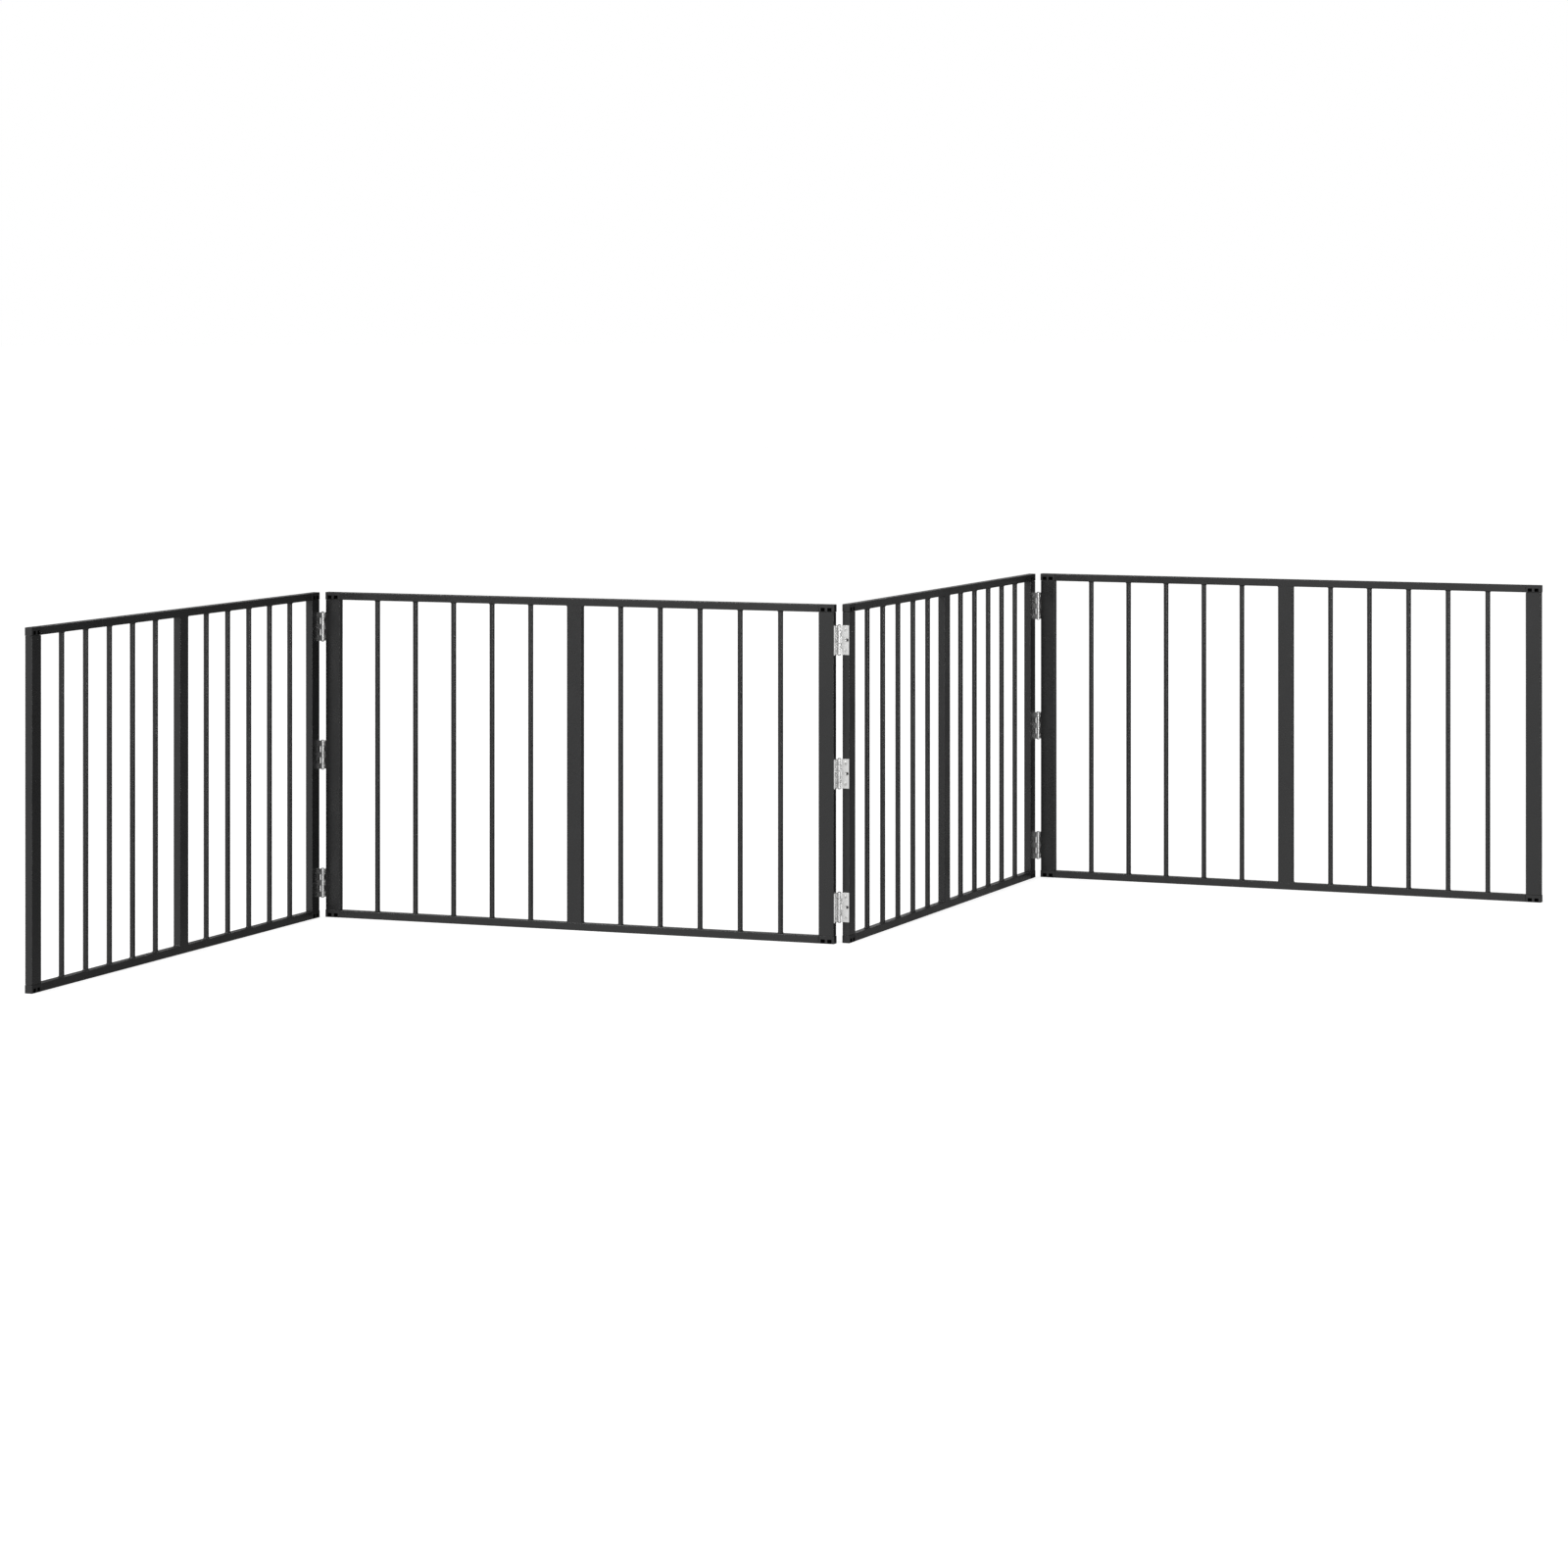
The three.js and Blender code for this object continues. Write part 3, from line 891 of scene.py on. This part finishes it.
def rollLeaf(bm, first):
    spans = knuckleSpans(first)
    points, faces, rims = sheetPattern(spans)
    thickness = leaf["thickness"]

    def sheetCorner(key, face, depth):
        s, z = points[key][face]
        return bm.verts.new(sheetPoint(s, depth, z))

    inner = {key: sheetCorner(key, 0, thickness) for key in points}
    outer = {key: sheetCorner(key, 1, 0.0) for key in points}
    used = {}
    for face in faces:
        bm.faces.new([inner[key] for key in face])
        bm.faces.new([outer[key] for key in face[::-1]])
        for a, b in zip(face, face[1:] + face[:1]):
            used[(a, b)] = used.get((a, b), 0) + 1
    rimKeys = {key for rim in rims for key in rim}
    for a, b in used:
        if (b, a) not in used and not (a in rimKeys and b in rimKeys):
            bm.faces.new((inner[b], inner[a], outer[a], outer[b]))
    coneDepth = leaf["sinkRadius"] - leaf["holeRadius"]
    for rim in rims:  # the countersink, then the short straight hole
        waist = [sheetCorner(key, 1, thickness - coneDepth) for key in rim]
        for n, key in enumerate(rim):
            following = (n + 1) % len(rim)
            after = rim[following]
            bm.faces.new((inner[key], inner[after], waist[following], waist[n]))
            bm.faces.new((waist[n], waist[following], outer[after], outer[key]))
    bmesh.ops.recalc_face_normals(bm, faces=bm.faces)
    roundEdges(bm, sharpEdges(bm, 60), leaf["edgeRounding"], leaf["edgeSteps"])


pin = {
    "radius": 0.0014,
    "headRadius": 0.0023,
    "headHeight": 0.0012,
    "headClearance": 0.0003,
    "sides": 32,
    "domeSteps": 6,
    "domeTurn": math.radians(78),
    "headChamfer": 0.0001,
    "headEdge": 0.0003,  # the straight part of the head, under the dome
}


def makePin(bm):
    shank = hingeHeight / 2 + pin["headClearance"]
    chamfer, edge, head = pin["headChamfer"], pin["headEdge"], pin["headRadius"]
    domed = [(pin["radius"], 0.0), (head - chamfer, 0.0), (head, chamfer)]
    for step in range(pin["domeSteps"] + 1):
        turn = pin["domeTurn"] * step / pin["domeSteps"]
        rise = edge + (pin["headHeight"] - edge) * math.sin(turn) / math.sin(pin["domeTurn"])
        domed.append((head * math.cos(turn), rise))
    rings = [circle(radius, pin["sides"], -shank - rise) for radius, rise in reversed(domed)]
    rings += [circle(radius, pin["sides"], shank + rise) for radius, rise in domed]
    loft(bm, rings)


screw = {
    "headRadius": 0.00285,
    "shankRadius": 0.00145,
    "length": 0.009,
    "sunk": 0.00005,  # under the face of the leaf
    "recessLength": 0.00145,  # from the middle to a wing's end
    "recessHalfWidth": 0.00028,
    "recessDepth": 0.0011,
    "tipRadius": 0.0002,
    "tipLength": 0.0012,
    "taperLength": 0.0022,
    "taperShare": 0.7,  # of the shank's radius, at the end of the tip
    "neckDrop": 0.0001,
    "headEdgeFrom": 0.00012,  # the head's straight edge, down from its top
    "headEdgeTo": 0.00006,
    "headChamfer": 0.00008,
    "crown": 0.00003,
    "crownShare": 0.72,
    "recessRounding": 0.00008,
    "sides": 48,
}


def crossOutline(scale, height):
    # the outline of a cross recess, as far from the middle as each direction allows
    ring = []
    for point in circle(1.0, screw["sides"], 0.0):
        turn = math.atan2(point.y, point.x)
        fromWing = abs((turn + math.pi / 4) % (math.pi / 2) - math.pi / 4)
        reach = screw["recessLength"] / math.cos(fromWing)
        if fromWing > 1e-6:
            reach = min(reach, screw["recessHalfWidth"] / math.sin(fromWing))
        ring.append(Vector((point.x * reach * scale, point.y * reach * scale, height)))
    return ring


def makeScrew(bm):
    # along z with the top of its head at the origin
    head, shank, length = screw["headRadius"], screw["shankRadius"], screw["length"]
    profile = [
        (screw["tipRadius"], -length),
        (shank * screw["taperShare"], screw["tipLength"] - length),
        (shank, screw["taperLength"] - length),
        (shank, shank - head - screw["neckDrop"]),
        (head, -screw["headEdgeFrom"]),
        (head, -screw["headEdgeTo"]),
        (head - screw["headChamfer"], 0.0),
        (head * screw["crownShare"], screw["crown"]),
    ]
    rings = [circle(radius, screw["sides"], height) for radius, height in profile]
    rings.append(crossOutline(1.0, screw["crown"] + 0.00001))
    rings.append(crossOutline(0.94, -screw["recessRounding"]))
    rings.append(crossOutline(0.62, -screw["recessDepth"]))
    loft(bm, rings)


def hingeTurn(end, side):
    # the leaf is drawn for a left end with its knuckles in front, and half turns give the rest
    axis = {("left", "back"): "X", ("right", "front"): "Y", ("right", "back"): "Z"}.get((end, side))
    return Matrix.Rotation(math.pi, 4, axis) if axis else Matrix.Identity(4)


def makeHinge(line, level):
    name = f"hinge_{line}_{level}"
    pivot = middleOf(f"{name}_pin")
    bm = bmesh.new()
    makePin(bm)
    pinNode = f"{name}_pin"
    pinPlace = Matrix.Translation(pivot)
    finishPiece(bm, f"{pinNode}_domed", pinPlace, bodyOfNode[pinNode], "pin", [pinNode])
    for word, number in (("left", line), ("right", line + 1)):
        node = f"{name}_leaf_{word}"
        turn = panelPlaces[number].to_3x3().to_4x4()
        end = "right" if word == "left" else "left"
        side = "front" if (panelPlaces[number].inverted() @ pivot).y < 0 else "back"
        place = Matrix.Translation(pivot) @ turn @ hingeTurn(end, side)
        bm = bmesh.new()
        rollLeaf(bm, 0 if end == "right" else 1)
        finishPiece(bm, f"{node}_rolled", place, bodyOfNode[node], "zinc", [node])
        headFace = leaf["knuckleRadius"] - leaf["thickness"] + screw["sunk"]
        for label, (reach, z) in zip(("lower", "", "upper"), holePlaces()):
            if not label:
                continue  # the middle hole is left empty
            seat = Matrix.Translation((headFace, reach, z)) @ Matrix.Rotation(-math.pi / 2, 4, "Y")
            spin = Matrix.Rotation(chance.uniform(0, math.pi), 4, "Z")
            bm = bmesh.new()
            makeScrew(bm)
            finishPiece(bm, f"{node}_screw_{label}", place @ seat @ spin, bodyOfNode[node], "screw")


for line, level in product((1, 2, 3), ("bottom", "middle", "top")):
    makeHinge(line, level)
print("hinges made")


# studio: a pale floor, soft light from the left and the camera

studio = {
    "floorHalf": 120.0,
    "floorColor": (0.45, 0.45, 0.45, 1.0),
    "floorDrift": (0.6, 0.6, 0.6, 1.0),
    "floorDriftSize": 2.0,
    "floorRoughness": 0.9,
    "floorSpecular": 0.1,
    "floorGlow": 0.80,  # for the camera only, so that the floor is pale without lighting the guard
    "brightSide": (-0.91, -0.42, 0.0),  # where the room is brightest, seen from the guard
    "brightFrom": -0.3,  # the dot product with the bright side where the light starts to grow
    "brightTo": 0.9,
    "brightStrength": 0.93,
    "dimStrength": 0.21,
    "skyToCamera": 1.0,
}


def makeFloor():
    bm = bmesh.new()
    bmesh.ops.create_grid(bm, x_segments=1, y_segments=1, size=studio["floorHalf"])
    mesh = bpy.data.meshes.new("studioFloor")
    bm.to_mesh(mesh)
    bm.free()
    floor = bpy.data.objects.new("studioFloor", mesh)
    floor.location.z = cadLow.z
    bpy.context.scene.collection.objects.link(floor)
    floor.visible_glossy = False  # the coat mirrors the room and not the floor
    material, tree, shader = newMaterial("paleFloor")
    tones = {"mainColor": studio["floorColor"], "driftColor": studio["floorDrift"]}
    mottled = useGroup(tree, toneDrift, **tones, driftSize=studio["floorDriftSize"])
    tree.links.new(mottled, shader.inputs["Base Color"])
    shader.inputs["Roughness"].default_value = studio["floorRoughness"]
    shader.inputs["Specular IOR Level"].default_value = studio["floorSpecular"]
    glow = addNode(tree, "ShaderNodeEmission", {"Strength": studio["floorGlow"]})
    path = addNode(tree, "ShaderNodeLightPath")
    seen = addNode(tree, "ShaderNodeMixShader", {0: path.outputs["Is Camera Ray"], 2: glow.outputs[0]})
    both = addNode(tree, "ShaderNodeAddShader", {0: shader.outputs[0], 1: seen.outputs[0]})
    tree.links.new(both.outputs[0], tree.nodes["Material Output"].inputs["Surface"])
    mesh.materials.append(material)


def makeSky():
    world = bpy.data.worlds.new("paleStudio")
    bpy.context.scene.world = world
    world.use_nodes = True
    tree = world.node_tree
    soft = tree.nodes["Background"]
    soft.inputs["Color"].default_value = (1.0, 1.0, 1.0, 1.0)
    direction = addNode(tree, "ShaderNodeTexCoord").outputs["Generated"]
    inputs = {0: direction, 1: studio["brightSide"]}
    towards = addNode(tree, "ShaderNodeVectorMath", inputs, operation="DOT_PRODUCT").outputs["Value"]
    ends = (studio["brightFrom"], studio["brightTo"])
    fade = rangeNode(tree, towards, *ends, studio["dimStrength"], studio["brightStrength"])
    fade.node.interpolation_type = "SMOOTHSTEP"
    tree.links.new(fade, soft.inputs["Strength"])
    inputs = {"Color": (1.0, 1.0, 1.0, 1.0), "Strength": studio["skyToCamera"]}
    plain = addNode(tree, "ShaderNodeBackground", inputs)
    path = addNode(tree, "ShaderNodeLightPath")
    inputs = {0: path.outputs["Is Camera Ray"], 1: soft.outputs[0], 2: plain.outputs[0]}
    mixed = addNode(tree, "ShaderNodeMixShader", inputs)
    tree.links.new(mixed.outputs[0], tree.nodes["World Output"].inputs["Surface"])


softboxes = {
    "keySoftbox": {"at": (-5.5, -1.6, 3.4), "size": (1.6, 1.2), "power": 120.0},
    "frontStrip": {"at": (0.8, -6.4, 1.3), "size": (0.35, 2.0), "power": 110.0},
    "backRim": {"at": (2.5, 5.5, 3.5), "size": (3.0, 1.6), "power": 30.0},
}


def makeSoftbox(name, box):
    light = bpy.data.lights.new(name, "AREA")
    light.shape = "RECTANGLE"
    light.size, light.size_y = box["size"]
    light.energy = box["power"]
    holder = bpy.data.objects.new(name, light)
    holder.location = box["at"]
    aim = (cadLow + cadHigh) / 2 - Vector(box["at"])
    holder.rotation_euler = aim.to_track_quat("-Z", "Y").to_euler()
    bpy.context.scene.collection.objects.link(holder)


camera = {
    "at": (-2.782, -6.545, 0.967),
    "heading": -23.32,  # degrees from the row's +Y
    "lens": 102.52,
    "sensor": 36.0,
    "clipEnd": 200.0,
    "shiftY": -0.3006,
}


def makeCamera():
    lens = bpy.data.cameras.new("studioCamera")
    lens.sensor_width = camera["sensor"]
    lens.lens = camera["lens"]
    lens.shift_y = camera["shiftY"]
    lens.clip_end = camera["clipEnd"]
    holder = bpy.data.objects.new("studioCamera", lens)
    holder.location = camera["at"]
    holder.rotation_euler = (math.radians(90), 0.0, math.radians(camera["heading"]))
    bpy.context.scene.collection.objects.link(holder)
    bpy.context.scene.camera = holder


makeFloor()
makeSky()
for name, box in softboxes.items():
    makeSoftbox(name, box)
makeCamera()
bpy.context.scene.view_settings.view_transform = "Standard"
print("studio made")
